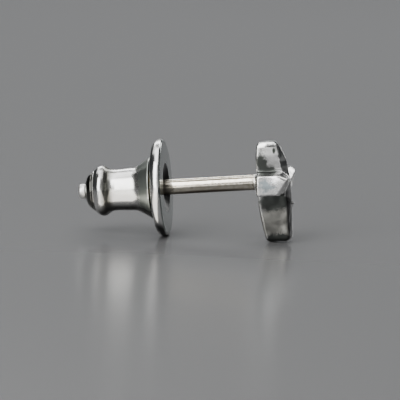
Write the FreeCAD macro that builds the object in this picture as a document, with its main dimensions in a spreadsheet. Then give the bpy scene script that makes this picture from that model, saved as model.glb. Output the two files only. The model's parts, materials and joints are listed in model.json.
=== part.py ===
"""Tie tack with a pull-to-release ball-lock clutch, as a parametric assembly in millimetres.

The post lies along X. The origin is the post's root, in the plane of the head's back. The head
faces +X, its upright arm points up +Z, and the clutch sits on the post towards -X. Each piece is
one body or solid with its own Label and Placement. Pieces of the clutch are drawn on an axis of
their own that starts at the flange's front face and runs backwards, away from the head.
"""
import FreeCAD, Part
import math
import os
import Sketcher

doc = FreeCAD.newDocument("TieTack")
sheet = doc.addObject("Spreadsheet::Sheet", "Dims")

# alias: (millimetres, degrees or a count, meaning)
DIMENSIONS = {
    "fabric_gap": (8.24, "head back to flange front, with the clutch as it was left"),
    "play": (0.04, "radial clearance of a running fit"),
    # Post
    "post_radius": (0.69, "wire of the post"),
    "post_length": (10.70, "root to tip"),
    "tip_taper": (0.55, "length of the blunt point"),
    "tip_radius": (0.34, "radius of the blunt point's end"),
    "tenon_length": (0.60, "part of the post set into the head"),
    "solder_radius": (0.96, "foot of the solder fillet"),
    "solder_rise": (0.30, "height of the solder fillet on the post"),
    "solder_sink": (0.06, "recess of the head that the solder fills"),
    "solder_edge": (0.02, "thickness of the fillet where it ends on the post"),
    # Head
    "back_edge": (0.12, "bevel along the back edges of the cross"),
    "saw_depth": (0.20, "layer taken off to leave the flat back"),
    # Flange
    "flange_radius": (4.33, "largest radius"),
    "flange_face": (4.17, "radius where the front face ends"),
    "flange_belly": (0.315, "distance back to the largest radius"),
    "flange_thick": (1.14, "front face to back face"),
    "flange_turn": (3.77, "radius where the round edge meets the back slope"),
    "flange_turn_at": (0.98, "distance back to that point"),
    "flange_back": (2.79, "radius where the back slope ends"),
    "edge_round": (0.70, "radius of the round back edge"),
    "mouth_radius": (2.15, "dished mouth at the front face"),
    "hub_radius": (1.25, "hole that holds the barrel's neck"),
    "hub_at": (0.45, "distance back to the front of the neck"),
    # Barrel
    "throat_radius": (0.78, "way in for the post"),
    "throat_at": (0.90, "distance back to the narrow part of the throat"),
    "race_at": (1.20, "distance back to the start of the ball race"),
    "race_angle": (10.0, "slope of the ball race, degrees"),
    "barrel_radius": (1.60, "outside of the barrel"),
    "chamber_radius": (1.44, "inside of the spring chamber"),
    "ring_at": (5.25, "distance back to the retaining ring"),
    "ring_thick": (0.25, "retaining ring"),
    "ring_radius": (1.49, "seat of the retaining ring"),
    "rim_length": (0.10, "barrel rim behind the retaining ring"),
    "washer_thick": (0.10, "loose thrust washer in front of the ring"),
    # Balls and cage
    "ball_radius": (0.28, "locking ball"),
    "ball_gap": (0.01, "ball to post and ball to race, clutch closed"),
    "end_gap": (0.02, "thrust washer to retaining ring, and spring to its two seats"),
    "ball_at": (1.85, "distance back to the plane of the ball centres"),
    "ball_count": (3, "balls, evenly spaced"),
    "ball_play": (0.02, "radial clearance of a ball in its hole"),
    "cage_at": (1.26, "distance back to the cage's nose"),
    "cage_gap": (0.065, "cage cone to race"),
    "collar_at": (2.45, "distance back to the end of the cage's cone"),
    "collar_end": (2.70, "distance back to the spring's seat on the cage"),
    "stem_radius": (0.95, "stem of the cage"),
    "stem_end": (6.75, "distance back to the stem's shoulder"),
    "bore_end": (6.58, "depth of the post's bore"),
    "neck_radius": (0.42, "rivet neck behind the stem"),
    "neck_end": (7.70, "distance back to the end of the neck"),
    # Spring
    "wire_radius": (0.09, "spring wire"),
    "coil_radius": (1.20, "middle of the coil"),
    "coil_turns": (8, "turns"),
    # Sleeve
    "lip_at": (1.29, "distance back to the sleeve's front lip"),
    "lip_radius": (2.78, "sleeve's front lip"),
    "lip_wall": (0.20, "width of the front lip"),
    "cone_end_at": (2.10, "end of the straight flare"),
    "cone_end_radius": (2.25, "radius there"),
    "grip_at": (2.95, "start of the long waist"),
    "grip_radius": (1.935, "radius there"),
    "waist_at": (4.40, "narrowest place of the waist"),
    "waist_radius": (1.852, "radius there"),
    "waist_round": (1.72, "hollow curve at each end of the waist"),
    "grip_round": (11.7, "slight hollow of the waist between those curves"),
    "rise_at": (5.15, "waist turns up into the rear ridge"),
    "rise_radius": (2.02, "radius there"),
    "ridge_start_at": (5.35, "front of the rear ridge"),
    "ridge_start_radius": (2.16, "radius there"),
    "ridge_end_at": (6.12, "back of the rear ridge"),
    "ridge_end_radius": (2.13, "radius there"),
    "ridge_round": (0.60, "rounding of the ridge's top"),
    "sleeve_end": (6.36, "distance back to the seam with the end cap"),
    "sleeve_end_radius": (1.93, "radius at the seam"),
    "sleeve_bore": (1.66, "bore of the sleeve, clear of the barrel"),
    "flare_end": (2.90, "depth of the flare inside the sleeve"),
    # End cap and nub
    "cap_skirt_at": (6.00, "front of the skirt pressed into the sleeve"),
    "cap_skirt_wall": (0.18, "wall of the skirt"),
    "cap_seat": (6.78, "distance back to the cap's inner face"),
    "cap_end": (7.27, "distance back to the cap's rear face"),
    "cap_end_radius": (0.80, "radius of that face"),
    "cap_round": (1.75, "rounding of the dome"),
    "nub_at": (7.30, "distance back to the nub's front face"),
    "nub_radius": (0.675, "rivet button"),
    "nub_end": (7.92, "distance back to the nub's end"),
    "nub_round": (0.22, "rounding of the nub's rim"),
}

# Sections of the two arms of the cross. Each gives, in millimetres: where it stands along the
# arm, half its width, how far its back, its side walls and its ridge lie from the head's back
# plane, and how far the ridge runs beside the arm's centre line. A negative back is sawn flat.
SECTION_FIELDS = ("place", "half", "back", "wall", "ridge", "shift")
UPRIGHT = {
    "foot": (-5.37, 0.76, 0.72, 2.22, 2.40, 0.00),
    "ankle": (-5.15, 0.92, 0.46, 2.52, 2.76, 0.00),
    "shin": (-3.50, 1.00, 0.15, 2.60, 2.92, 0.02),
    "knee": (-1.90, 1.04, -0.03, 2.62, 3.00, 0.00),
    "core": (0.00, 1.02, -0.03, 2.50, 3.00, 0.00),
    "neck": (1.95, 0.96, -0.03, 2.26, 2.74, -0.02),
    "brow": (3.30, 0.83, 0.10, 1.99, 2.25, 0.00),
    "crown": (3.62, 0.66, 0.32, 1.70, 1.82, 0.00),
}
CROSSBAR = {
    "near_end": (-3.15, 0.86, 0.26, 2.02, 2.90, 0.42),
    "near_edge": (-2.97, 1.01, 0.08, 2.16, 3.10, 0.58),
    "near_arm": (-1.40, 1.02, -0.03, 2.38, 3.02, 0.32),
    "centre": (0.00, 1.00, -0.03, 2.50, 3.00, 0.10),
    "far_arm": (1.40, 1.02, -0.03, 2.64, 3.08, 0.30),
    "far_edge": (2.97, 1.00, 0.12, 2.88, 3.20, 0.50),
    "far_end": (3.15, 0.86, 0.28, 2.74, 3.06, 0.42),
}


class Size:
    """A number together with the sheet expression that gives it."""

    def __init__(self, number, text):
        self.number = number
        self.text = text

    def joined(self, sign, other, number):
        text = other.text if isinstance(other, Size) else repr(other)
        return Size(number, "(%s %s %s)" % (self.text, sign, text))

    def __add__(self, other):
        return self.joined("+", other, self.number + plain(other))

    def __sub__(self, other):
        return self.joined("-", other, self.number - plain(other))

    def __mul__(self, other):
        return self.joined("*", other, self.number * plain(other))

    def __truediv__(self, other):
        return self.joined("/", other, self.number / plain(other))

    def __neg__(self):
        return Size(-self.number, "(-%s)" % self.text)


def plain(size):
    return size.number if isinstance(size, Size) else size


def fill_sheet():
    """Write every driving dimension into the sheet, one row each, and name its cell."""
    rows = dict(DIMENSIONS)
    for arm, sections in (("upright", UPRIGHT), ("crossbar", CROSSBAR)):
        for section, values in sections.items():
            for field, number in zip(SECTION_FIELDS, values):
                rows["_".join((arm, section, field))] = (number, "section of the cross")
    for row, (alias, (number, meaning)) in enumerate(rows.items(), start=1):
        sheet.set("A%d" % row, alias)
        sheet.set("B%d" % row, str(number))
        sheet.set("C%d" % row, meaning)
        sheet.setAlias("B%d" % row, alias)
    doc.recompute()
    return {alias: Size(number, "Dims." + alias) for alias, (number, _) in rows.items()}


D = fill_sheet()
RACE_SLOPE = Size(math.tan(math.radians(D["race_angle"].number)), "tan(Dims.race_angle * 1 deg)")
ORIGIN = Size(0.0, "0")


def origin_feature(body, role):
    return next(item for item in body.Origin.OriginFeatures if item.Role == role)


def attached_sketch(body, name, plane, offset=None):
    """Sketch on an origin plane of its own body, moved along the plane's normal if asked."""
    sketch = body.newObject("Sketcher::SketchObject", name)
    sketch.AttachmentSupport = [(origin_feature(body, plane), "")]
    sketch.MapMode = "FlatFace"
    if offset is not None:
        sketch.setExpression("AttachmentOffset.Base.z", offset.text)
    return sketch


def hold(sketch, kind, *arguments, size):
    """Add a sized constraint and bind it to the sheet."""
    index = sketch.addConstraint(Sketcher.Constraint(kind, *arguments, size.number))
    sketch.setExpression("Constraints[%d]" % index, size.text)


def pin_vertex(sketch, edge, end, across, up):
    """Fix one vertex at a distance across and up from the sketch's origin."""
    for kind, size, axis in (("DistanceX", across, -2), ("DistanceY", up, -1)):
        if size.number == 0:
            sketch.addConstraint(Sketcher.Constraint("PointOnObject", edge, end, axis))
        else:
            hold(sketch, kind, -1, 1, edge, end, size=size)


def outline(sketch, corners):
    """Draw a closed outline. A corner is (across, up), or (across, up, radius) to reach it on an arc.

    A positive radius puts the arc's centre to the left of the way from the last corner, and a
    negative one to its right.
    """
    edges = []
    for last, corner in zip(corners[-1:] + corners[:-1], corners):
        start = FreeCAD.Vector(last[0].number, last[1].number, 0)
        end = FreeCAD.Vector(corner[0].number, corner[1].number, 0)
        if len(corner) == 2:
            edges.append((sketch.addGeometry(Part.LineSegment(start, end)), 1, 2))
            continue
        radius = abs(corner[2].number)
        left = corner[2].number > 0
        chord = end - start
        inward = FreeCAD.Vector(-chord.y, chord.x, 0).normalize() * (1 if left else -1)
        centre = (start + end) * 0.5 + inward * math.sqrt(radius**2 - (chord.Length / 2) ** 2)
        first, second = (start, end) if left else (end, start)
        angles = [math.atan2(p.y - centre.y, p.x - centre.x) for p in (first, second)]
        circle = Part.Circle(centre, FreeCAD.Vector(0, 0, 1), radius)
        edge = sketch.addGeometry(Part.ArcOfCircle(circle, *angles))
        hold(sketch, "Radius", edge, size=corner[2] if left else -corner[2])
        edges.append((edge, 1, 2) if left else (edge, 2, 1))
    for (edge, _, tail), (following, head, _), corner in zip(edges, edges[1:] + edges[:1], corners):
        sketch.addConstraint(Sketcher.Constraint("Coincident", edge, tail, following, head))
        pin_vertex(sketch, following, head, corner[0], corner[1])


def circle(sketch, across, up, radius):
    """Draw a circle at a place across and up from the sketch's origin."""
    centre = FreeCAD.Vector(across.number, up.number, 0)
    edge = sketch.addGeometry(Part.Circle(centre, FreeCAD.Vector(0, 0, 1), radius.number))
    hold(sketch, "Radius", edge, size=radius)
    pin_vertex(sketch, edge, 3, across, up)


def new_body(label):
    body = doc.addObject("PartDesign::Body", label + "_body")
    body.Label = label
    return body


def turned_body(label, corners):
    """Body made on the lathe: an outline of (along the axis, radius) corners turned about X."""
    body = new_body(label)
    sketch = attached_sketch(body, label + "_outline", "XY_Plane")
    outline(sketch, corners)
    turning = body.newObject("PartDesign::Revolution", label + "_turning")
    turning.Profile = sketch
    turning.ReferenceAxis = (sketch, ["H_Axis"])
    turning.Angle = 360
    return body


def cut(body, sketch, name, depth, forwards):
    """Pocket that must take something away."""
    doc.recompute()
    before = body.Shape.Volume
    pocket = body.newObject("PartDesign::Pocket", name)
    pocket.Profile = sketch
    pocket.Reversed = forwards
    pocket.setExpression("Length", depth.text)
    doc.recompute()
    if not body.Shape.Volume < before:
        raise RuntimeError(name + " cuts nothing")
    return pocket


def set_back(body, start):
    """Turn a body's own axis backwards, and start it a distance behind the head's back plane."""
    body.Placement.Rotation = FreeCAD.Rotation(FreeCAD.Vector(0, 0, 1), 180)
    body.setExpression("Placement.Base.x", (-start).text)


def race_radius(place):
    """Radius of the ball race at a distance behind the flange's front face."""
    at_ball = (D["post_radius"] + D["ball_radius"] * 2) + D["ball_gap"] * 2
    return at_ball + RACE_SLOPE * (place - D["ball_at"])


# ------------------------------------------------------------------ head


def arm_section(body, name, plane, offset, size):
    """House-shaped section: flat back with bevelled corners, two side walls and a ridge."""
    sketch = attached_sketch(body, name, plane, offset)
    inner = size["half"] - D["back_edge"]
    shoulder = size["back"] + D["back_edge"]
    outline(
        sketch,
        [
            (size["back"], -inner),
            (shoulder, -size["half"]),
            (size["wall"], -size["half"]),
            (size["ridge"], size["shift"]),
            (size["wall"], size["half"]),
            (shoulder, size["half"]),
            (size["back"], inner),
        ],
    )
    return sketch


def arm(body, arm_name, sections, plane, direction):
    """Ruled loft through the sections of one arm, so that its facets stay crisp."""
    sketches = []
    for section in sections:
        size = {f: D["_".join((arm_name, section, f))] for f in SECTION_FIELDS}
        offset = size["place"] * direction
        sketches.append(arm_section(body, arm_name + "_" + section, plane, offset, size))
    doc.recompute()
    loft = body.newObject("PartDesign::AdditiveLoft", arm_name + "_loft")
    loft.Profile = sketches[0]
    loft.Sections = sketches[1:]
    loft.Ruled = True
    doc.recompute()


def make_head():
    """Ridged cross with a sawn back, a socket for the post and a recess for the solder."""
    body = new_body("cross_head")
    arm(body, "upright", UPRIGHT, "XY_Plane", 1)
    arm(body, "crossbar", CROSSBAR, "XZ_Plane", -1)
    saw = attached_sketch(body, "saw_cut", "YZ_Plane")
    reach = D["flange_radius"] * 2
    outline(saw, [(-reach, -reach), (reach, -reach), (reach, reach), (-reach, reach)])
    cut(body, saw, "flat_back", D["saw_depth"], forwards=False)
    for name, radius, depth in (
        ("solder_recess", D["solder_radius"], D["solder_sink"]),
        ("post_socket", D["post_radius"], D["tenon_length"]),
    ):
        sketch = attached_sketch(body, name + "_circle", "YZ_Plane")
        circle(sketch, ORIGIN, ORIGIN, radius)
        cut(body, sketch, name, depth, forwards=True)
    return body


def make_post():
    """Plain wire post with a blunt point, its tenon set into the head."""
    length = D["tenon_length"] + D["post_length"]
    body = turned_body(
        "post",
        [
            (ORIGIN, ORIGIN),
            (length, ORIGIN),
            (length, D["tip_radius"]),
            (length - D["tip_taper"], D["post_radius"]),
            (ORIGIN, D["post_radius"]),
        ],
    )
    set_back(body, -D["tenon_length"])
    return body


def make_solder_ring():
    """Concave fillet of solder around the post's root."""
    foot = D["solder_sink"]
    body = turned_body(
        "solder_ring",
        [
            (ORIGIN, D["post_radius"]),
            (ORIGIN, D["solder_radius"]),
            (foot, D["solder_radius"]),
            (foot + D["solder_rise"], D["post_radius"] + D["solder_edge"], D["solder_rise"]),
            (foot + D["solder_rise"], D["post_radius"]),
        ],
    )
    set_back(body, -foot)
    return body


# ------------------------------------------------------------------ clutch, fixed part


def make_flange():
    """Thick round flange with a rounded back edge and a dished mouth."""
    return turned_body(
        "flange",
        [
            (ORIGIN, D["mouth_radius"]),
            (D["hub_at"], D["hub_radius"]),
            (D["flange_thick"], D["hub_radius"]),
            (D["flange_thick"], D["flange_back"]),
            (D["flange_turn_at"], D["flange_turn"]),
            (D["flange_belly"], D["flange_radius"], D["edge_round"]),
            (ORIGIN, D["flange_face"], D["flange_belly"]),
        ],
    )


def make_barrel():
    """Barrel pressed into the flange: throat, sloping ball race, spring chamber, ring seat."""
    race_end = D["ball_at"] + (D["chamber_radius"] - race_radius(D["ball_at"])) / RACE_SLOPE
    ring_end = D["ring_at"] + D["ring_thick"]
    rim_end = ring_end + D["rim_length"]
    return turned_body(
        "barrel",
        [
            (D["hub_at"], D["hub_radius"] - D["play"]),
            (D["throat_at"], D["throat_radius"]),
            (D["race_at"], D["throat_radius"]),
            (D["race_at"], race_radius(D["race_at"])),
            (race_end, D["chamber_radius"]),
            (D["ring_at"], D["chamber_radius"]),
            (D["ring_at"], D["ring_radius"]),
            (ring_end, D["ring_radius"]),
            (rim_end, D["ring_radius"] - D["play"]),
            (rim_end, D["barrel_radius"]),
            (D["flange_thick"], D["barrel_radius"]),
            (D["flange_thick"], D["hub_radius"]),
            (D["hub_at"], D["hub_radius"]),
        ],
    )


def make_washer(label, start, thick, inner, outer):
    """Plain flat ring."""
    end = start + thick
    return turned_body(label, [(start, inner), (end, inner), (end, outer), (start, outer)])


# ------------------------------------------------------------------ clutch, moving parts


def make_cage():
    """Ball cage: cone with radial ball holes, spring seat, bored stem and rivet neck."""
    bore = D["post_radius"] + D["play"]
    body = turned_body(
        "ball_cage",
        [
            (D["cage_at"], bore),
            (D["bore_end"], bore),
            (D["bore_end"] + D["play"], ORIGIN),
            (D["neck_end"], ORIGIN),
            (D["neck_end"], D["neck_radius"]),
            (D["stem_end"], D["neck_radius"]),
            (D["stem_end"], D["stem_radius"]),
            (D["collar_end"], D["stem_radius"]),
            (D["collar_end"], race_radius(D["collar_at"]) - D["cage_gap"]),
            (D["collar_at"], race_radius(D["collar_at"]) - D["cage_gap"]),
            (D["cage_at"], race_radius(D["cage_at"]) - D["cage_gap"]),
        ],
    )
    sketch = attached_sketch(body, "ball_hole_circle", "XY_Plane")
    circle(sketch, D["ball_at"], ORIGIN, D["ball_radius"] + D["ball_play"])
    hole = cut(body, sketch, "ball_hole", D["barrel_radius"], forwards=True)
    one_hole = body.Shape.Volume
    pattern = body.newObject("PartDesign::PolarPattern", "ball_holes")
    pattern.Originals = [hole]
    pattern.Axis = (origin_feature(body, "X_Axis"), [""])
    pattern.Angle = 360
    pattern.setExpression("Occurrences", D["ball_count"].text)
    body.Tip = pattern
    doc.recompute()
    if not body.Shape.Volume < one_hole:
        raise RuntimeError("the ball holes were not repeated")
    return body


def make_spring():
    """Round-wire coil spring between the cage's collar and the thrust washer."""
    body = new_body("spring")
    start = D["collar_end"] + D["wire_radius"] + D["end_gap"]
    end = D["ring_at"] - D["washer_thick"] - D["end_gap"] * 2 - D["wire_radius"]
    sketch = attached_sketch(body, "spring_wire", "XY_Plane")
    circle(sketch, start, D["coil_radius"], D["wire_radius"])
    coil = body.newObject("PartDesign::AdditiveHelix", "spring_coil")
    coil.Profile = sketch
    coil.ReferenceAxis = (sketch, ["H_Axis"])
    coil.Mode = "height-turns-angle"
    coil.setExpression("Height", (end - start).text)
    coil.setExpression("Turns", D["coil_turns"].text)
    return body


def make_balls():
    """Locking balls, one in each hole of the cage, the first one on top."""
    balls = []
    circle_radius = D["post_radius"] + D["ball_radius"] + D["ball_gap"]
    back = D["fabric_gap"] + D["ball_at"]
    for number in range(int(D["ball_count"].number)):
        ball = doc.addObject("Part::Sphere", "ball_%d" % (number + 1))
        ball.Label = "ball_%d" % (number + 1)
        ball.setExpression("Radius", D["ball_radius"].text)
        turn = "(%d * 360 deg / %s)" % (number, D["ball_count"].text)
        ball.setExpression("Placement.Base.x", (-back).text)
        ball.setExpression("Placement.Base.y", "%s * sin(%s)" % (circle_radius.text, turn))
        ball.setExpression("Placement.Base.z", "%s * cos(%s)" % (circle_radius.text, turn))
        balls.append(ball)
    return balls


def make_sleeve():
    """Spool-shaped grip sleeve: flared front, long waist, rounded rear ridge, plain bore."""
    return turned_body(
        "sleeve",
        [
            (D["lip_at"], D["lip_radius"] - D["lip_wall"]),
            (D["flare_end"], D["sleeve_bore"]),
            (D["sleeve_end"], D["sleeve_bore"]),
            (D["sleeve_end"], D["sleeve_end_radius"]),
            (D["ridge_end_at"], D["ridge_end_radius"]),
            (D["ridge_start_at"], D["ridge_start_radius"], D["ridge_round"]),
            (D["rise_at"], D["rise_radius"]),
            (D["waist_at"], D["waist_radius"], -D["waist_round"]),
            (D["grip_at"], D["grip_radius"], -D["grip_round"]),
            (D["cone_end_at"], D["cone_end_radius"], -D["waist_round"]),
            (D["lip_at"], D["lip_radius"]),
        ],
    )


def make_end_cap():
    """Domed cap whose skirt is pressed into the sleeve. The stem's neck passes through it."""
    skirt_inner = D["sleeve_bore"] - D["cap_skirt_wall"]
    hole = D["neck_radius"] + D["play"]
    return turned_body(
        "end_cap",
        [
            (D["cap_skirt_at"], skirt_inner),
            (D["sleeve_end"], skirt_inner),
            (D["cap_seat"], D["stem_radius"] + D["play"]),
            (D["cap_seat"], hole),
            (D["cap_end"], hole),
            (D["cap_end"], D["cap_end_radius"]),
            (D["sleeve_end"], D["sleeve_end_radius"], D["cap_round"]),
            (D["sleeve_end"], D["sleeve_bore"]),
            (D["cap_skirt_at"], D["sleeve_bore"]),
        ],
    )


def make_nub():
    """Rivet button pressed on the cage's neck, which keeps the end cap on the stem."""
    return turned_body(
        "nub",
        [
            (D["nub_at"], D["neck_radius"]),
            (D["neck_end"], D["neck_radius"]),
            (D["neck_end"], ORIGIN),
            (D["nub_end"], ORIGIN),
            (D["nub_end"], D["nub_radius"] - D["nub_round"]),
            (D["nub_end"] - D["nub_round"], D["nub_radius"], D["nub_round"]),
            (D["nub_at"], D["nub_radius"]),
        ],
    )


def make_clutch():
    """All bodies of the clutch, set on the post with the fabric gap in front of the flange."""
    washer_end = D["ring_at"] - D["end_gap"]
    bodies = [
        make_flange(),
        make_barrel(),
        make_washer(
            "retaining_ring",
            D["ring_at"],
            D["ring_thick"],
            D["stem_radius"] + D["play"],
            D["ring_radius"],
        ),
        make_washer(
            "thrust_washer",
            washer_end - D["washer_thick"],
            D["washer_thick"],
            D["stem_radius"] + D["play"],
            D["chamber_radius"] - D["play"],
        ),
        make_spring(),
        make_cage(),
        make_sleeve(),
        make_end_cap(),
        make_nub(),
    ]
    for body in bodies:
        set_back(body, D["fabric_gap"])
    return bodies


def write_steps(pieces):
    """Check every object of the document and every piece, then write one STEP file per piece."""
    doc.recompute()
    failed = [o.Name for o in doc.Objects if {"Invalid", "Error"} & set(o.State)]
    if failed:
        raise RuntimeError("failed objects: " + ", ".join(failed))
    os.makedirs("parts", exist_ok=True)
    for piece in pieces:
        shape = piece.Shape
        if shape.isNull() or not shape.isValid() or len(shape.Solids) != 1:
            raise RuntimeError(piece.Label + " is not one valid solid")
        shape.exportStep(os.path.join("parts", piece.Label + ".step"))
        print("%-15s %8.4f mm3" % (piece.Label, shape.Volume))


write_steps([make_head(), make_post(), make_solder_ring()] + make_clutch() + make_balls())
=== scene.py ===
"""Studio picture of a tie tack lying on its side, on its clutch flange and its head."""
import json
import math

import bmesh
import bpy
from mathutils import Matrix, Vector, noise


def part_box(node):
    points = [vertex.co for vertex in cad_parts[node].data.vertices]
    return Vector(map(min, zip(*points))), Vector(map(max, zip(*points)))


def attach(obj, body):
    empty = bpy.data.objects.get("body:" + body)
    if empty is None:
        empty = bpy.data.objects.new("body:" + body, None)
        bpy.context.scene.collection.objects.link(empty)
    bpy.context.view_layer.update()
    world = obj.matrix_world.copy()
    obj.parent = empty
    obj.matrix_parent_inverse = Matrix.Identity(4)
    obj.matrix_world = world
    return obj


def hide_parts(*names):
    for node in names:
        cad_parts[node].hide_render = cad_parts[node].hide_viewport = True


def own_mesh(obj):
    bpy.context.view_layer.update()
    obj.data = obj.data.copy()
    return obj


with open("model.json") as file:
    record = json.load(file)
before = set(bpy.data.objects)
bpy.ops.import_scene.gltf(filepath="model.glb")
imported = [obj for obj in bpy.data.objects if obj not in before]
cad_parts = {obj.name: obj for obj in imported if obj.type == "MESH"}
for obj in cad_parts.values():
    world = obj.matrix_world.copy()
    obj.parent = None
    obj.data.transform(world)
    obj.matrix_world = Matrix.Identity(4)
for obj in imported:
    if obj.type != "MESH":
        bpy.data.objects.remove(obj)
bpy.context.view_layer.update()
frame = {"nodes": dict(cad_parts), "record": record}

MM = 0.001
# The flange's front face, on the post's axis.
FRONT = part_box("flange")[1].x

# Camera, measured in the row frame: the angles round the object, the turn about the view line,
# the distance, and where the middle of the object falls in the square image, in image widths.
VIEW_AZIMUTH = 7.4
VIEW_ELEVATION = 8.4
VIEW_ROLL = -4.2
VIEW_DISTANCE = 294 * MM
LENS_MM = 296
# Nearest and farthest things the camera sees, in view distances.
VIEW_CLIPS = (0.1, 20)
OBJECT_MIDDLE = Vector((-6.5 * MM, 0, 0))
MIDDLE_IN_IMAGE = (-0.0356, 0.0349)


def view_axes(azimuth, elevation, roll):
    """Right, up and back directions of a camera that looks at the object."""
    a, e, r = (math.radians(angle) for angle in (azimuth, elevation, roll))
    back = Vector((math.sin(a) * math.cos(e), -math.cos(a) * math.cos(e), math.sin(e)))
    right = Vector((math.cos(a), math.sin(a), 0))
    up = back.cross(right)
    return (
        right * math.cos(r) + up * math.sin(r),
        up * math.cos(r) - right * math.sin(r),
        back,
    )


def add_camera():
    data = bpy.data.cameras.new("camera")
    camera = bpy.data.objects.new("camera", data)
    bpy.context.scene.collection.objects.link(camera)
    right, up, back = view_axes(VIEW_AZIMUTH, VIEW_ELEVATION, VIEW_ROLL)
    data.lens = LENS_MM
    data.clip_start, data.clip_end = (VIEW_DISTANCE * clip for clip in VIEW_CLIPS)
    width = VIEW_DISTANCE * data.sensor_width / LENS_MM
    aim = OBJECT_MIDDLE - right * MIDDLE_IN_IMAGE[0] * width - up * MIDDLE_IN_IMAGE[1] * width
    turn = Matrix((right, up, back)).transposed().to_4x4()
    camera.matrix_world = Matrix.Translation(aim + back * VIEW_DISTANCE) @ turn
    bpy.context.scene.camera = camera


# ---------------------------------------------------------------- floor and light


# Search for the tilt of the floor: the steepest in degrees, and how often the range is halved.
STEEPEST_FLOOR = 15
FLOOR_HALVINGS = 40

# The floor's side in metres and its surface.
FLOOR_SIZE = 3
FLOOR_COLOUR = (0.12, 0.12, 0.122)
FLOOR_ROUGHNESS = 0.24
FLOOR_SHINE = 0.2

# The backdrop's place as seen from the object, its size, its surface and the light it gives off.
BACKDROP_ANGLES = (185, 4.5)
BACKDROP_DISTANCE = 0.75
BACKDROP_SIZE = (0.5, 0.24)
BACKDROP_COLOUR = (0.4, 0.4, 0.41)
BACKDROP_ROUGHNESS = 0.9
BACKDROP_GLOW = (0.29, 0.30, 0.305)

# Faint light from all round.
WORLD_COLOUR = (0.95, 1.0, 1.05)
WORLD_STRENGTH = 0.025

# Soft boxes: name, angle round the object, angle above the floor, distance, size and brightness.
LIGHTS = [
    ("front_box", -31, 34, 0.30, (0.19, 0.34), 6.0),
    ("front_low", 2, 6, 0.31, (0.17, 0.066), 1.05),
    ("top_box", -10, 92, 0.30, (0.30, 0.28), 2.7),
    ("back_strip", 180, 36, 0.32, (0.34, 0.08), 6.0),
    ("right_fill", 34, 36, 0.31, (0.28, 0.30), 0.45),
    ("back_box", 228, 48, 0.32, (0.14, 0.16), 1.5),
    ("back_slit", 157, 8, 0.31, (0.045, 0.065), 5.0),
    ("side_fill", 104, 30, 0.31, (0.26, 0.26), 0.11),
]

# Fill card: its middle's place along Y, width and depth, brightness, colour, angle to the floor,
# and the gap under its lower edge.
CARD_PLACE = -15.2 * MM
CARD_SIZE = (7 * MM, 26 * MM)
CARD_RADIANCE = 1.7
CARD_COLOUR = (1, 0.95, 0.88)
CARD_LEAN = 24
CARD_GAP = 0.2 * MM


def lowest(node, normal):
    """How far the node reaches along -normal."""
    return min(normal.dot(vertex.co) for vertex in frame["nodes"][node].data.vertices)


def floor_normal():
    """Normal of the plane that touches both the flange's rim and the foot of the head."""
    low, high = 0.0, math.radians(STEEPEST_FLOOR)
    for _ in range(FLOOR_HALVINGS):
        tilt = (low + high) / 2
        normal = Vector((math.sin(tilt), 0, math.cos(tilt)))
        if lowest("cross_head", normal) < lowest("flange", normal):
            low = tilt
        else:
            high = tilt
    return normal


UP = floor_normal()
ALONG = Vector((0, 1, 0)).cross(UP)
STAGE_TURN = Matrix((ALONG, Vector((0, 1, 0)), UP)).transposed()


def studio_point(azimuth, elevation, distance):
    """A point seen from the object at an angle round it and above the floor."""
    a, e = math.radians(azimuth), math.radians(elevation)
    way = Vector((math.sin(a) * math.cos(e), -math.cos(a) * math.cos(e), math.sin(e)))
    return OBJECT_MIDDLE + STAGE_TURN @ way * distance


def add_light(name, azimuth, elevation, distance, size, radiance):
    """Soft box of a given brightness, aimed at the object and hidden from the camera."""
    data = bpy.data.lights.new(name, "AREA")
    data.shape = "RECTANGLE"
    data.size, data.size_y = size
    data.energy = radiance * math.pi * size[0] * size[1]
    light = bpy.data.objects.new(name, data)
    bpy.context.scene.collection.objects.link(light)
    place = studio_point(azimuth, elevation, distance)
    light.location = place
    light.rotation_mode = "QUATERNION"
    light.rotation_quaternion = (OBJECT_MIDDLE - place).to_track_quat("-Z", "Y")
    light.visible_camera = False


def add_fill_card():
    """Small warm card that leans in front of the clutch and fills its lower half."""
    low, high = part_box("end_cap")[0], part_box("sleeve")[1]
    middle = Vector(((low.x + high.x) / 2, CARD_PLACE, 0))
    rise = CARD_SIZE[1] / 2 * math.sin(math.radians(CARD_LEAN)) + CARD_GAP
    middle += UP * (floor_height() - UP.dot(middle) + rise)
    data = bpy.data.lights.new("fill_card", "AREA")
    data.shape = "RECTANGLE"
    data.size, data.size_y = CARD_SIZE
    data.energy = CARD_RADIANCE * math.pi * data.size * data.size_y
    data.color = CARD_COLOUR
    light = bpy.data.objects.new("fill_card", data)
    bpy.context.scene.collection.objects.link(light)
    lean = Matrix.Rotation(math.radians(180 - CARD_LEAN), 3, "X")
    light.matrix_world = Matrix.Translation(middle) @ (STAGE_TURN @ lean).to_4x4()
    light.visible_camera = False
    # It shows in the metal, and leaves no bright pool on the floor.
    light.visible_diffuse = False


def add_board(name, size, place, turn, colour, roughness):
    """Flat board that belongs to the studio."""
    signs = ((-1, -1), (1, -1), (1, 1), (-1, 1))
    corners = [(x * size[0] / 2, y * size[1] / 2, 0) for x, y in signs]
    mesh = bpy.data.meshes.new(name)
    mesh.from_pydata(corners, [], [(0, 1, 2, 3)])
    board = bpy.data.objects.new(name, mesh)
    bpy.context.scene.collection.objects.link(board)
    board.matrix_world = Matrix.Translation(place) @ turn.to_4x4()
    material, shader, _ = new_material(name)
    shader.inputs["Base Color"].default_value = (*colour, 1)
    shader.inputs["Roughness"].default_value = roughness
    mesh.materials.append(material)
    return shader


def floor_height():
    """Where the floor lies along its own normal."""
    return min(lowest("flange", UP), lowest("cross_head", UP))


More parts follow.
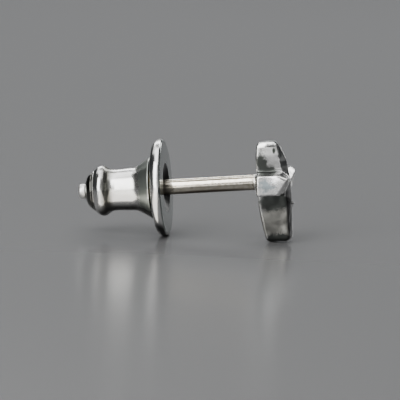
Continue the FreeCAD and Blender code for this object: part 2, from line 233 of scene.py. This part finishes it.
def add_floor():
    """Plain board, smooth enough to mirror the object softly."""
    place = UP * floor_height()
    size = (FLOOR_SIZE, FLOOR_SIZE)
    shader = add_board("floor", size, place, STAGE_TURN, FLOOR_COLOUR, FLOOR_ROUGHNESS)
    shader.inputs["Specular IOR Level"].default_value = FLOOR_SHINE


def add_backdrop():
    """Faintly glowing grey paper behind the object, which the floor mirrors at a low angle."""
    place = studio_point(*BACKDROP_ANGLES, BACKDROP_DISTANCE)
    upright = STAGE_TURN @ Matrix.Rotation(math.radians(90), 3, "X")
    shader = add_board(
        "backdrop", BACKDROP_SIZE, place, upright, BACKDROP_COLOUR, BACKDROP_ROUGHNESS
    )
    shader.inputs["Emission Color"].default_value = (*BACKDROP_GLOW, 1)
    shader.inputs["Emission Strength"].default_value = 1.0


def add_world():
    world = bpy.data.worlds.new("studio")
    world.use_nodes = True
    background = world.node_tree.nodes["Background"]
    background.inputs["Color"].default_value = (*WORLD_COLOUR, 1)
    background.inputs["Strength"].default_value = WORLD_STRENGTH
    bpy.context.scene.world = world


# ---------------------------------------------------------------- materials

# Clouds: detail, and the noise values where their tint starts and is full.
CLOUD_DETAIL = 4
CLOUD_RANGE = (0.45, 0.75)
# Roughness of the best and worst polished spots, in roughnesses of the metal.
POLISH_RANGE = (0.6, 1.5)
# Scratches: detail, and how strongly they tilt the surface.
SCRATCH_DETAIL = 3
SCRATCH_STRENGTH = 0.4

# Noise that makes the edge of each patch of painted shade and stain wander, and where a patch
# ends, in half extents of its zone.
RAGGED_SCALE = 1.0
RAGGED_DETAIL = 8
RAGGED_ROUGHNESS = 0.68
SHADE_AND_STAIN_END = 1.15

# Metals: colour, tint of the clouds, roughness, fineness of the clouds, fineness of the scratches
# along each axis, and depth of the scratches in millimetres.
METALS = {
    "silver": ((0.86, 0.86, 0.85), (0.78, 0.78, 0.75), 0.20, 0.8, (3, 3, 3), 0.002),
    "rivet_silver": ((0.88, 0.88, 0.86), (0.76, 0.76, 0.72), 0.36, 0.8, (3, 3, 3), 0.002),
    "cast_silver": ((0.84, 0.84, 0.83), (0.70, 0.70, 0.68), 0.17, 1.1, (2, 2, 2), 0.006),
    "wire": ((0.86, 0.81, 0.70), (0.50, 0.45, 0.35), 0.13, 3.4, (0.6, 9, 9), 0.003),
    "solder": ((0.75, 0.74, 0.70), (0.50, 0.49, 0.45), 0.25, 4, (9, 9, 9), 0.004),
    "brass": ((0.80, 0.62, 0.32), (0.62, 0.45, 0.22), 0.22, 2, (9, 1, 1), 0.003),
    "steel": ((0.62, 0.62, 0.62), (0.50, 0.50, 0.49), 0.22, 2, (5, 5, 5), 0.003),
    "grip_silver": ((0.86, 0.86, 0.84), (0.74, 0.75, 0.70), 0.20, 0.8, (3, 3, 3), 0.002),
    "cap_silver": ((0.86, 0.86, 0.85), (0.78, 0.78, 0.75), 0.16, 0.8, (3, 3, 3), 0.002),
}

# The metal of each node.
METAL_OF = {
    "cross_head": "cast_silver",
    "post": "wire",
    "solder_ring": "solder",
    "flange": "silver",
    "sleeve": "grip_silver",
    "end_cap": "cap_silver",
    "nub": "rivet_silver",
    "barrel": "brass",
    "ball_cage": "brass",
    "retaining_ring": "steel",
    "thrust_washer": "steel",
    "spring": "steel",
    "ball_1": "silver",
    "ball_2": "silver",
    "ball_3": "silver",
}

SEAT = FRONT / MM
# Painted shade and painted reflections, some mixed with real stains, laid over one another in
# this order: metal, zones (centre and half extents in mm), colour, roughness, how far the edge
# wanders in mm, and the part of a zone that is painted fully. Most are painted reflections of
# dark things that the polished metal would mirror, and painted shade on undersides and in
# recesses.
PAINTED_SHADE_AND_STAINS = [
    # Painted shade and painted reflection on the flange: black under its rim, a darker grey on
    # its front face, and black in its dished mouth.
    (
        "silver",
        [((SEAT - 0.5, -1.2, -3.9), (0.9, 3.2, 2.1))],
        (0.05, 0.052, 0.05),
        0.25,
        0.5,
        0.6,
    ),
    ("silver", [((SEAT, 0, 0), (0.16, 9, 9))], (0.36, 0.39, 0.375), 0.1, 0.1, 0.6),
    ("silver", [((SEAT - 0.3, 0, 0), (1.2, 2.05, 2.05))], (0.03, 0.03, 0.03), 0.4, 0.1, 1.05),
    # Painted reflection: a dimmer grey on both sides of the lower arm, and a bluish grey on the
    # ends of the crossbar.
    (
        "cast_silver",
        [((1.6, side, -3.6), (2.2, 0.7, 2.0)) for side in (-1, 1)],
        (0.42, 0.415, 0.38),
        0.2,
        1.7,
        0.6,
    ),
    (
        "cast_silver",
        [((1.05, side * 3.2, 0), (0.85, 0.6, 0.5)) for side in (-1, 1)],
        (0.42, 0.48, 0.50),
        0.16,
        1.7,
        0.6,
    ),
    # Painted shade and reflection: near-black patches on both sides of the upright, where the
    # arms meet and low on the lower arm. Columns: along X, half width, height, half height.
    (
        "cast_silver",
        [
            ((along, side, height), (wide, 0.9, tall))
            for side in (-1, 1)
            for along, wide, height, tall in (
                (0.45, 0.65, 1.9, 1.1),
                (1.1, 1.2, 1.0, 0.75),
                (1.6, 2.0, -1.75, 0.95),
                (1.6, 1.7, -5.2, 0.65),
            )
        ],
        (0.07, 0.075, 0.07),
        0.3,
        1.7,
        0.6,
    ),
    # Painted shade: a dark front edge on the lower arm. Then a small dark mark on the top arm.
    (
        "cast_silver",
        [((2.95, side * 0.8, -3.4), (0.6, 0.6, 2.4)) for side in (-1, 1)],
        (0.10, 0.10, 0.10),
        0.25,
        0.4,
        0.6,
    ),
    (
        "cast_silver",
        [((1.69, side, 2.86), (0.16, 0.6, 0.3)) for side in (-1, 1)],
        (0.06, 0.07, 0.06),
        0.3,
        0.15,
        0.6,
    ),
    # Darker bands round the sleeve: on its flare partly rougher, duller metal and partly painted
    # reflection, and beside its ridge painted shade. Then painted shade on its underside.
    ("grip_silver", [((SEAT - 1.75, 0, 0), (0.72, 9, 9))], (0.33, 0.36, 0.33), 0.32, 1.7, 0.6),
    ("grip_silver", [((SEAT - 5.2, 0, 0), (0.62, 9, 9))], (0.15, 0.15, 0.13), 0.25, 0.4, 0.2),
    (
        "grip_silver",
        [((SEAT - 3.7, -0.5, -2.2), (4.4, 2.8, 1.25))],
        (0.05, 0.05, 0.045),
        0.25,
        0.4,
        0.6,
    ),
    # Brownish grey at both ends of the free post, partly heat tint and patina and partly painted
    # shade where it enters the head and the flange's mouth. Then painted shade on its underside,
    # and a thin painted reflection, a dark stripe along its top.
    (
        "wire",
        [((0, 0, 0), (0.45, 9, 9)), ((SEAT, 0, 0), (0.55, 9, 9))],
        (0.42, 0.39, 0.33),
        0.3,
        1.7,
        0.6,
    ),
    (
        "wire",
        [((SEAT / 2, -0.2, -0.68), (5, 0.9, 0.42)), ((SEAT / 2, -0.45, 0.50), (5, 0.2, 0.07))],
        (0.09, 0.075, 0.055),
        0.3,
        0.16,
        0.6,
    ),
    # Painted reflection: a dark band round the cap, behind its seam.
    ("cap_silver", [((SEAT - 6.9, 0, 0), (0.62, 9, 9))], (0.12, 0.12, 0.11), 0.22, 0.4, 0.6),
]


def new_material(name):
    material = bpy.data.materials.new(name)
    material.use_nodes = True
    tree = material.node_tree
    return material, tree.nodes["Principled BSDF"], tree


def metal(name, colour, tint, roughness, speck, grain, bump):
    """Polished or drawn metal: clouded colour, uneven polish and fine handling scratches."""
    material, shader, tree = new_material(name)
    nodes, links = tree.nodes, tree.links
    shader.inputs["Metallic"].default_value = 1.0
    place = nodes.new("ShaderNodeTexCoord")
    clouds = nodes.new("ShaderNodeTexNoise")
    clouds.inputs["Scale"].default_value = speck / MM
    clouds.inputs["Detail"].default_value = CLOUD_DETAIL
    links.new(place.outputs["Object"], clouds.inputs["Vector"])
    shade = nodes.new("ShaderNodeMix")
    shade.data_type = "RGBA"
    shade.inputs["A"].default_value = (*colour, 1)
    shade.inputs["B"].default_value = (*tint, 1)
    ramp = nodes.new("ShaderNodeMapRange")
    ramp.inputs["From Min"].default_value = CLOUD_RANGE[0]
    ramp.inputs["From Max"].default_value = CLOUD_RANGE[1]
    links.new(clouds.outputs["Fac"], ramp.inputs["Value"])
    links.new(ramp.outputs["Result"], shade.inputs["Factor"])
    links.new(shade.outputs["Result"], shader.inputs["Base Color"])
    polish = nodes.new("ShaderNodeMapRange")
    polish.inputs["To Min"].default_value = roughness * POLISH_RANGE[0]
    polish.inputs["To Max"].default_value = roughness * POLISH_RANGE[1]
    links.new(clouds.outputs["Fac"], polish.inputs["Value"])
    links.new(polish.outputs["Result"], shader.inputs["Roughness"])
    stretch = nodes.new("ShaderNodeMapping")
    stretch.inputs["Scale"].default_value = tuple(value / MM for value in grain)
    links.new(place.outputs["Object"], stretch.inputs["Vector"])
    scratch = nodes.new("ShaderNodeTexNoise")
    scratch.inputs["Scale"].default_value = 1
    scratch.inputs["Detail"].default_value = SCRATCH_DETAIL
    links.new(stretch.outputs["Vector"], scratch.inputs["Vector"])
    relief = nodes.new("ShaderNodeBump")
    relief.inputs["Strength"].default_value = SCRATCH_STRENGTH
    relief.inputs["Distance"].default_value = bump * MM
    links.new(scratch.outputs["Fac"], relief.inputs["Height"])
    links.new(relief.outputs["Normal"], shader.inputs["Normal"])
    return material


def paint_shade_and_stains(material, zones, colour, roughness, wander, core):
    """Paint shade, reflections and stains on a metal in its zones, as one row of the table gives
    them.
    """
    tree = material.node_tree
    nodes, links = tree.nodes, tree.links
    shader = nodes["Principled BSDF"]
    place = nodes.new("ShaderNodeTexCoord")
    ragged = nodes.new("ShaderNodeTexNoise")
    ragged.inputs["Scale"].default_value = RAGGED_SCALE / MM
    ragged.inputs["Detail"].default_value = RAGGED_DETAIL
    ragged.inputs["Roughness"].default_value = RAGGED_ROUGHNESS
    links.new(place.outputs["Object"], ragged.inputs["Vector"])
    offset = nodes.new("ShaderNodeVectorMath")
    offset.operation = "MULTIPLY_ADD"
    offset.inputs[1].default_value = (wander * MM,) * 3
    links.new(ragged.outputs["Color"], offset.inputs[0])
    links.new(place.outputs["Object"], offset.inputs[2])
    mask = None
    for centre, extents in zones:
        local = nodes.new("ShaderNodeMapping")
        local.vector_type = "POINT"
        local.inputs["Scale"].default_value = tuple(1 / (extent * MM) for extent in extents)
        local.inputs["Location"].default_value = tuple(
            -(middle + wander / 2) / extent for middle, extent in zip(centre, extents)
        )
        links.new(offset.outputs["Vector"], local.inputs["Vector"])
        away = nodes.new("ShaderNodeVectorMath")
        away.operation = "LENGTH"
        links.new(local.outputs["Vector"], away.inputs[0])
        fade = nodes.new("ShaderNodeMapRange")
        fade.interpolation_type = "SMOOTHSTEP"
        fade.inputs["From Min"].default_value = SHADE_AND_STAIN_END
        fade.inputs["From Max"].default_value = core
        links.new(away.outputs["Value"], fade.inputs["Value"])
        if mask is None:
            mask = fade.outputs["Result"]
        else:
            both = nodes.new("ShaderNodeMath")
            both.operation = "MAXIMUM"
            links.new(mask, both.inputs[0])
            links.new(fade.outputs["Result"], both.inputs[1])
            mask = both.outputs["Value"]
    painted = (("Base Color", (*colour, 1), "RGBA"), ("Roughness", roughness, "FLOAT"))
    for socket, value, kind in painted:
        before = shader.inputs[socket].links[0].from_socket
        mix = nodes.new("ShaderNodeMix")
        mix.data_type = kind
        links.new(mask, mix.inputs["Factor"])
        links.new(before, mix.inputs["A"])
        mix.inputs["B"].default_value = value
        links.new(mix.outputs["Result"], shader.inputs[socket])


def dress(node, material):
    slots = frame["nodes"][node].data.materials
    slots.clear()
    slots.append(material)


def dress_all():
    """Make the metals, paint on their shade, reflections and stains, and put each on its nodes.
    """
    materials = {name: metal(name, *look) for name, look in METALS.items()}
    for name, *shade_and_stain in PAINTED_SHADE_AND_STAINS:
        paint_shade_and_stains(materials[name], *shade_and_stain)
    for node, name in METAL_OF.items():
        dress(node, materials[name])


# ---------------------------------------------------------------- pieces turned on a lathe

# Flat steps round a turned piece, and in each rounded corner of its outline.
STEPS_ROUND = 160
STEPS_CORNER = 9
# A corner whose half angle is above this many degrees is straight, and isn't rounded.
NEARLY_STRAIGHT = 89.5
# Points closer than this, in metres, are merged, and an edge bent by more degrees looks sharp.
MERGE_DISTANCE = 1e-8
SHARP_ANGLE = 35


def rounded(corners):
    """Outline in millimetres with each corner (along, radius, rounding) made an arc."""
    points = []
    neighbours = zip(corners[-1:] + corners[:-1], corners, corners[1:] + corners[:1])
    for last, corner, following in neighbours:
        here = Vector(corner[:2])
        to_last = (Vector(last[:2]) - here).normalized()
        to_following = (Vector(following[:2]) - here).normalized()
        half = to_last.angle(to_following, math.pi) / 2
        if corner[2] == 0 or half > math.radians(NEARLY_STRAIGHT):
            points.append(here)
            continue
        centre = here + (to_last + to_following).normalized() * (corner[2] / math.sin(half))
        start = here + to_last * (corner[2] / math.tan(half)) - centre
        end = here + to_following * (corner[2] / math.tan(half)) - centre
        sweep = start.angle_signed(end)
        for step in range(STEPS_CORNER + 1):
            points.append(centre + Matrix.Rotation(-sweep * step / STEPS_CORNER, 2) @ start)
    return points


def turned(name, node, corners):
    """Round piece that stands for a CAD node: a rounded outline spun about the post's axis.

    The corners are (distance behind the flange's front face, radius, rounding) in millimetres.
    """
    points = rounded(corners)
    vertices, faces = [], []
    for step in range(STEPS_ROUND):
        angle = 2 * math.pi * step / STEPS_ROUND
        for along, radius in points:
            across = max(radius, 0.0) * MM
            place = (FRONT - along * MM, across * math.sin(angle), across * math.cos(angle))
            vertices.append(place)
    count = len(points)
    for step in range(STEPS_ROUND):
        ring, following = step * count, (step + 1) % STEPS_ROUND * count
        for corner in range(count):
            beside = (corner + 1) % count
            faces.append((ring + corner, ring + beside, following + beside, following + corner))
    finished_piece(name, node, vertices, faces)


def finished_piece(name, node, vertices, faces):
    """Make the mesh sound and smooth, in the node's metal, and let it stand for the node."""
    mesh = bpy.data.meshes.new(name)
    mesh.from_pydata(vertices, [], faces)
    shell = bmesh.new()
    shell.from_mesh(mesh)
    bmesh.ops.remove_doubles(shell, verts=shell.verts, dist=MERGE_DISTANCE)
    bmesh.ops.dissolve_degenerate(shell, edges=shell.edges, dist=MERGE_DISTANCE)
    bmesh.ops.recalc_face_normals(shell, faces=shell.faces)
    for face in shell.faces:
        face.smooth = True
    shell.to_mesh(mesh)
    shell.free()
    mesh.set_sharp_from_angle(angle=math.radians(SHARP_ANGLE))
    mesh.materials.append(frame["nodes"][node].data.materials[0])
    piece = bpy.data.objects.new(name, mesh)
    bpy.context.scene.collection.objects.link(piece)
    body = next(b for b, nodes in frame["record"]["behaviour"]["bodies"].items() if node in nodes)
    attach(piece, body)
    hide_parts(node)
    return piece


def add_turned_pieces():
    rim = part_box("flange")[1].z / MM
    turned(
        "flange_plate",
        "flange",
        [
            (0.00, 2.15, 0.08),
            (0.45, 1.25, 0.02),
            (1.14, 1.25, 0.02),
            (1.14, 2.79, 0.30),
            (0.885, rim, 0.62),
            (0.00, rim, 0.26),
        ],
    )
    turned(
        "grip_sleeve",
        "sleeve",
        [
            (1.29, 2.58, 0.02),
            (2.90, 1.66, 0.20),
            (6.36, 1.66, 0),
            (6.36, 1.93, 0.08),
            (5.745, 2.44, 0.62),
            (4.98, 1.865, 0.85),
            (4.40, 1.845, 2.0),
            (2.66, 1.935, 1.2),
            (1.29, 2.78, 0.06),
        ],
    )
    turned(
        "domed_cap",
        "end_cap",
        [
            (6.00, 1.48, 0),
            (6.36, 1.48, 0.05),
            (6.78, 0.99, 0.05),
            (6.78, 0.46, 0),
            (7.27, 0.46, 0.02),
            (7.27, 0.80, 0.10),
            (7.02, 1.39, 0.60),
            (6.68, 1.668, 0.02),
            (6.61, 1.67, 0.02),
            (6.56, 1.766, 0.03),
            (6.36, 1.93, 0.09),
            (6.36, 1.66, 0),
            (6.00, 1.66, 0),
        ],
    )
    turned(
        "rivet_nub",
        "nub",
        [
            (7.30, 0.42, 0),
            (7.70, 0.42, 0),
            (7.70, 0.00, 0),
            (7.92, 0.00, 0),
            (7.92, 0.65, 0.24),
            (7.58, 0.675, 0.15),
            (7.30, 0.665, 0.08),
        ],
    )


# ---------------------------------------------------------------- spring

# Coil: turns, radius of the wire, flat sides of the wire, steps along the whole coil.
SPRING_TURNS = 8
SPRING_WIRE = 0.09 * MM
SPRING_SIDES = 12
SPRING_STEPS = 400


def add_spring():
    """Round-wire coil, built at its rest length; in the clutch it shortens towards the thrust
    washer as the sleeve is drawn back.
    """
    low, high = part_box("spring")
    coil = high.z - SPRING_WIRE
    front, back = high.x - SPRING_WIRE, low.x + SPRING_WIRE
    vertices, faces = [], []
    for step in range(SPRING_STEPS + 1):
        part = step / SPRING_STEPS
        angle = 2 * math.pi * SPRING_TURNS * part
        along = front + (back - front) * part
        for side in range(SPRING_SIDES):
            turn = 2 * math.pi * side / SPRING_SIDES
            radius = coil + SPRING_WIRE * math.cos(turn)
            vertices.append(
                (
                    along + SPRING_WIRE * math.sin(turn),
                    radius * math.cos(angle),
                    radius * math.sin(angle),
                )
            )
    for step in range(SPRING_STEPS):
        for side in range(SPRING_SIDES):
            first = step * SPRING_SIDES + side
            second = step * SPRING_SIDES + (side + 1) % SPRING_SIDES
            faces.append((first, second, second + SPRING_SIDES, first + SPRING_SIDES))
    last = SPRING_STEPS * SPRING_SIDES
    faces.append(tuple(range(SPRING_SIDES)))
    faces.append(tuple(last + side for side in range(SPRING_SIDES)))
    piece = finished_piece("clutch_spring", "spring", vertices, faces)
    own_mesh(piece)


# ---------------------------------------------------------------- head

# The head is worked in millimetres. Cell of its even mesh, and the distance welded before that.
HEAD_GRAIN = 0.05
HEAD_WELD = 1e-4
# Passes that soften its edges, and the strength of each.
SOFTEN_PASSES = 34
SOFTEN_FACTOR = 0.5
# The ends of the crossbar, from this far out, lean in above this height and out below it.
END_FROM = 2.9
END_PIVOT = -1
END_TILT = 0.08
# Waves in the surface: fineness, place in the noise, and height. All of it is sunk to make room.
WAVES = [
    (0.55, (3, 1, 7), 0.09),
    (1.5, (9, 4, 2), 0.020),
]
WAVE_SINK = 0.04
# Small beads that stand out of the surface: place, radius and height.
BEADS = [
    ((2.95, 0.0, -2.1), 0.36, 0.15),
]
# The back of the head stays flat up to here.
FLAT_BACK = 0.05


def add_head():
    """Cast and filed cross: the CAD's facets with soft edges, slight waves and a small bead."""
    mesh = frame["nodes"]["cross_head"].data.copy()
    mesh.transform(Matrix.Scale(1 / MM, 4))
    rough = bpy.data.objects.new("rough_head", mesh)
    bpy.context.scene.collection.objects.link(rough)
    weld = rough.modifiers.new("weld", "WELD")
    weld.merge_threshold = HEAD_WELD
    grain = rough.modifiers.new("grain", "REMESH")
    grain.mode = "VOXEL"
    grain.voxel_size = HEAD_GRAIN
    soften = rough.modifiers.new("soften", "SMOOTH")
    soften.factor = SOFTEN_FACTOR
    soften.iterations = SOFTEN_PASSES
    softened = rough.evaluated_get(bpy.context.evaluated_depsgraph_get())
    cast = bpy.data.meshes.new_from_object(softened)
    bpy.data.objects.remove(rough)
    low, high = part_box("cross_head")
    vertices = []
    for vertex in cast.vertices:
        place, way = vertex.co, vertex.normal
        waves = sum(
            noise.noise(place * fineness + Vector(shift)) * height
            for fineness, shift, height in WAVES
        )
        waves -= WAVE_SINK
        for spot, radius, height in BEADS:
            away = (place - Vector(spot)).length / radius
            if away < 1:
                waves += height * (1 - away * away) ** 2
        if place.x < FLAT_BACK:
            waves = 0
        moved = place + way * waves
        if abs(place.y) > END_FROM:
            moved.y -= math.copysign((place.z - END_PIVOT) * END_TILT, place.y)
        moved = Vector(min(max(value, a), b) for value, a, b in zip(moved * MM, low, high))
        vertices.append(moved)
    faces = [tuple(p.vertices) for p in cast.polygons]
    finished_piece("cast_cross", "cross_head", vertices, faces)


add_camera()
add_world()
add_floor()
add_backdrop()
for light in LIGHTS:
    add_light(*light)
add_fill_card()
dress_all()
add_turned_pieces()
add_spring()
add_head()
